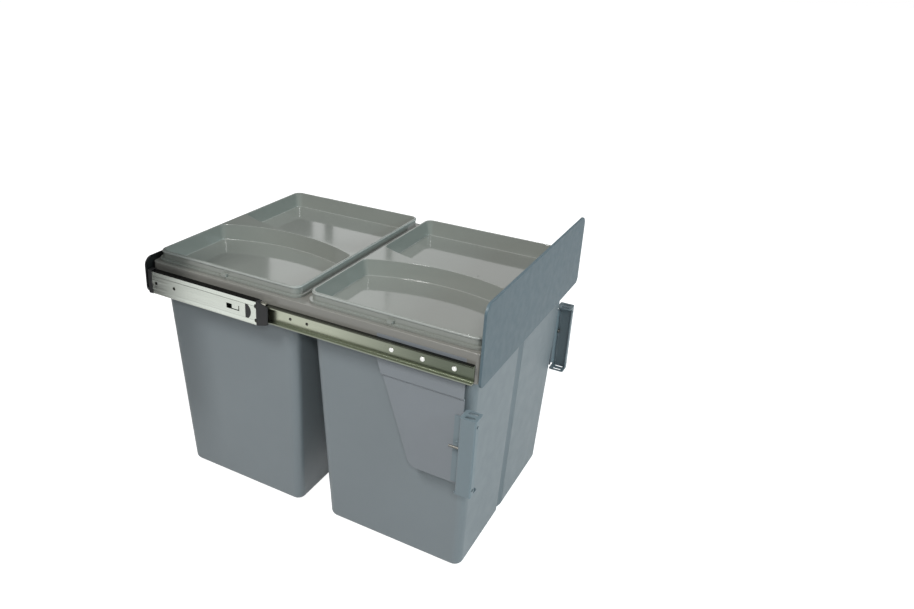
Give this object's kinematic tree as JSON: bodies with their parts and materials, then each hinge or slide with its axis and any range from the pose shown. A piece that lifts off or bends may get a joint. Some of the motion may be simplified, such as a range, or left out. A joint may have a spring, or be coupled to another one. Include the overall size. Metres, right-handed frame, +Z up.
{
  "type": "pull out bin frame",
  "caption": "Pull out frame for a kitchen cabinet on ball bearing runners, with lift-out waste bins, tray lids, a front panel and door brackets.",
  "frame": {"origin": "middle of the unit's outline, at the level of the bins' feet, with the unit pulled fully open", "axes": "+X to the right as seen from the front, +Y rearwards into the cabinet, +Z up; the front panel faces -Y"},
  "size_m": [0.364, 0.4914, 0.391],
  "materials": {
    "bin_plastic": "satin moulded",
    "lid_plastic": "glossy moulded",
    "frame_plastic": "glossy moulded",
    "panel_paint": "smooth powder coat",
    "grey_paint": "smooth powder coat",
    "zinc_steel": "zinc plated",
    "bright_steel": "bright zinc",
    "ball_steel": "polished",
    "black_plastic": "satin moulded"
  },
  "bodies": {
    "cabinet_runners": {"left_cabinet_member": "zinc_steel", "right_cabinet_member": "zinc_steel", "left_front_bumper": "black_plastic", "right_front_bumper": "black_plastic"},
    "carriage": {"bin_frame": "frame_plastic", "front_panel": "panel_paint", "rear_plate": "grey_paint", "left_drawer_member": "zinc_steel", "right_drawer_member": "zinc_steel", "left_rear_stop": "black_plastic", "right_rear_stop": "black_plastic", "left_side_plate": "grey_paint", "right_side_plate": "grey_paint", "left_door_bracket": "grey_paint", "right_door_bracket": "grey_paint", "side_rivets": "bright_steel", "bracket_rivets": "bright_steel", "adjusting_screws": "bright_steel", "frame_screws": "bright_steel", "panel_screws": "bright_steel", "rear_screws": "bright_steel"},
    "left_cage": {"left_ball_retainer": "zinc_steel", "left_slide_balls": "ball_steel"},
    "right_cage": {"right_ball_retainer": "zinc_steel", "right_slide_balls": "ball_steel"},
    "front_bin_body": {"front_bin": "bin_plastic"},
    "rear_bin_body": {"rear_bin": "bin_plastic"},
    "front_lid_body": {"front_lid": "lid_plastic"},
    "rear_lid_body": {"rear_lid": "lid_plastic"}
  },
  "joints": [
    {"name": "pull_out", "type": "slide", "parent": "cabinet_runners", "child": "carriage", "axis": [0, -1, 0], "range_m": [-0.28, 0]},
    {"name": "left_cage_roll", "type": "slide", "parent": "cabinet_runners", "child": "left_cage", "axis": [0, -1, 0], "range_m": [-0.14, 0]},
    {"name": "right_cage_roll", "type": "slide", "parent": "cabinet_runners", "child": "right_cage", "axis": [0, -1, 0], "range_m": [-0.14, 0]},
    {"name": "front_bin_lift", "type": "slide", "parent": "carriage", "child": "front_bin_body", "axis": [0, 0, 1], "range_m": [0, 0.345]},
    {"name": "rear_bin_lift", "type": "slide", "parent": "carriage", "child": "rear_bin_body", "axis": [0, 0, 1], "range_m": [0, 0.345]},
    {"name": "front_lid_lift", "type": "slide", "parent": "front_bin_body", "child": "front_lid_body", "axis": [0, 0, 1], "range_m": [0, 0.1]},
    {"name": "rear_lid_lift", "type": "slide", "parent": "rear_bin_body", "child": "rear_lid_body", "axis": [0, 0, 1], "range_m": [0, 0.1]}
  ],
  "couplings": [
    {"joint": "left_cage_roll", "follows": "pull_out", "ratio": 0.5},
    {"joint": "right_cage_roll", "follows": "pull_out", "ratio": 0.5}
  ]
}
